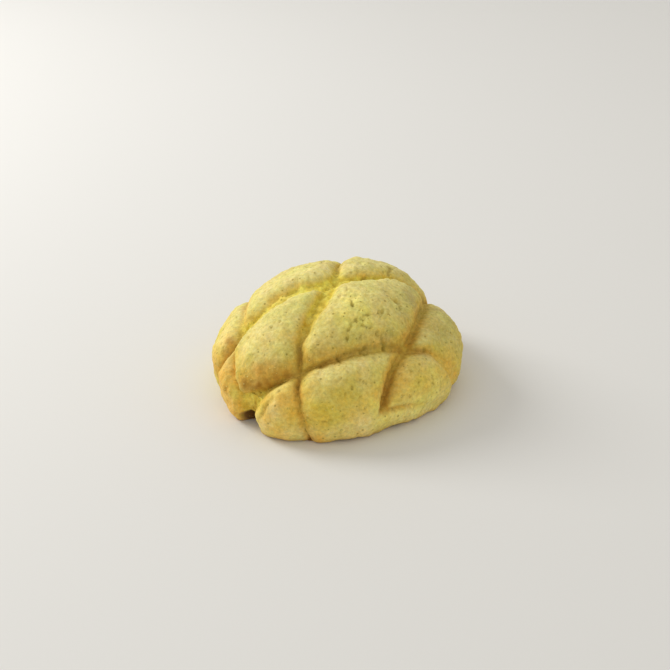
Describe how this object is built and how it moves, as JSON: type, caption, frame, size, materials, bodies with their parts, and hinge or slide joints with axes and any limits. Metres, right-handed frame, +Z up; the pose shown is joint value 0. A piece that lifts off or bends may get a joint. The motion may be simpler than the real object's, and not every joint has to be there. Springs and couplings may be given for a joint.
{
  "type": "melon pan bun",
  "caption": "Domed sweet bun under a sugary cookie crust, scored in a diamond lattice into rounded pillows, with an open notch at its foot and a flat base to rest on.",
  "frame": {"origin": "middle of the bun's outline, on the surface it rests on", "axes": "+Z up through the top of the dome, -Y towards the front, where the middle score line runs down, +X to the right"},
  "size_m": [0.1198, 0.1246, 0.0567],
  "materials": {
    "crust": "matte, sandy baked cookie crust, pale yellow, browned in the score lines and at the foot"
  },
  "bodies": {
    "root": {"bun": "crust"}
  },
  "joints": []
}
